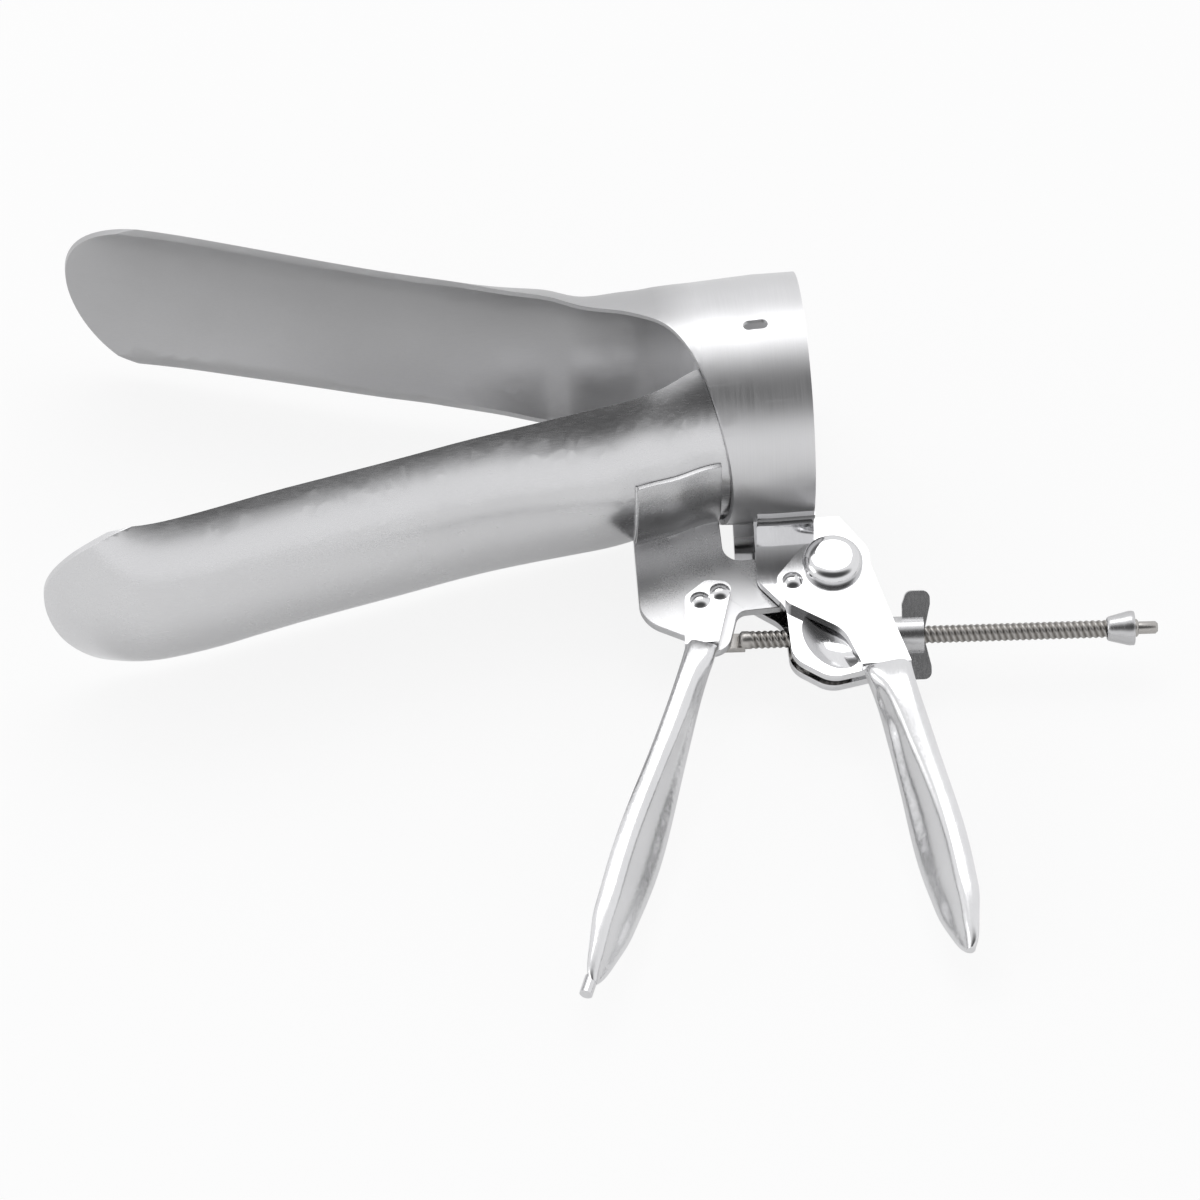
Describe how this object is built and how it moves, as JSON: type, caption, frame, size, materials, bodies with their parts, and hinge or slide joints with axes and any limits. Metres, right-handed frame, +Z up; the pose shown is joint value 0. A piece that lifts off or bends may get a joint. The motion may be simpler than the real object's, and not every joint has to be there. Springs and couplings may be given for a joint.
{
  "type": "bivalve speculum",
  "caption": "Bivalve speculum: curved steel blades hinged beside a tubular ring, worked by twisted strip handles and held open by a threaded rod with a wing nut.",
  "frame": {"origin": "centre of the ring's mouth, where light and instruments go in", "axes": "+X along the ring's axis out of the mouth, so the blade tips are at -X; +Y the way the upper blade opens, away from the handles; +Z up from the surface it lies on, along every hinge axis"},
  "size_m": [0.1825, 0.1453, 0.0414],
  "materials": {
    "satin_blade": "satin stainless steel",
    "polished_blade": "polished stainless steel",
    "satin_plate": "satin stainless steel sheet",
    "polished_plate": "polished stainless steel sheet",
    "polished_handle": "polished stainless steel strip",
    "polished_small": "polished stainless steel fasteners",
    "threaded_steel": "rolled thread on stainless steel",
    "nickel_nut": "turned stainless steel"
  },
  "bodies": {
    "lower_valve": {"lower_blade": "polished_blade", "front_bracket": "satin_plate", "front_handle": "polished_handle", "front_handle_rivets": "polished_small", "rod_pivot_pin": "polished_small"},
    "upper_valve": {"upper_blade": "satin_blade", "near_cheek": "polished_plate", "far_cheek": "polished_plate", "rod_guide": "satin_plate", "guide_rivets": "polished_small", "hinge_screw": "polished_small", "hinge_nut": "polished_small", "hinge_spacer": "satin_plate", "rear_handle": "polished_handle", "rear_handle_rivet": "polished_small"},
    "rod": {"screw_rod": "threaded_steel", "rod_end_stop": "nickel_nut"},
    "washer": {"nut_washer": "nickel_nut"},
    "nut": {"wing_nut": "nickel_nut"}
  },
  "joints": [
    {"name": "blade_hinge", "type": "hinge", "parent": "lower_valve", "child": "upper_valve", "pos_m": [0.002, -0.0295, -0.011], "axis": [0, 0, 1], "range_deg": [0, 26]},
    {"name": "rod_swing", "type": "hinge", "parent": "lower_valve", "child": "rod", "pos_m": [-0.0205, -0.0397, -0.012], "axis": [0, 0, 1], "range_deg": [0, 6.74]},
    {"name": "nut_travel", "type": "slide", "parent": "rod", "child": "washer", "axis": [0.9986, -0.0523, 0], "range_m": [0, 0.00829]},
    {"name": "nut_spin", "type": "hinge", "parent": "washer", "child": "nut", "pos_m": [0.01146, -0.04137, -0.012], "axis": [0.9986, -0.0523, 0], "range_deg": [0, 979]}
  ],
  "couplings": [
    {"joint": "rod_swing", "follows": "blade_hinge", "ratio": 0.2477},
    {"joint": "nut_travel", "follows": "blade_hinge", "m_per_rad": 0.017828},
    {"joint": "nut_spin", "follows": "blade_hinge", "ratio": 37.339}
  ]
}
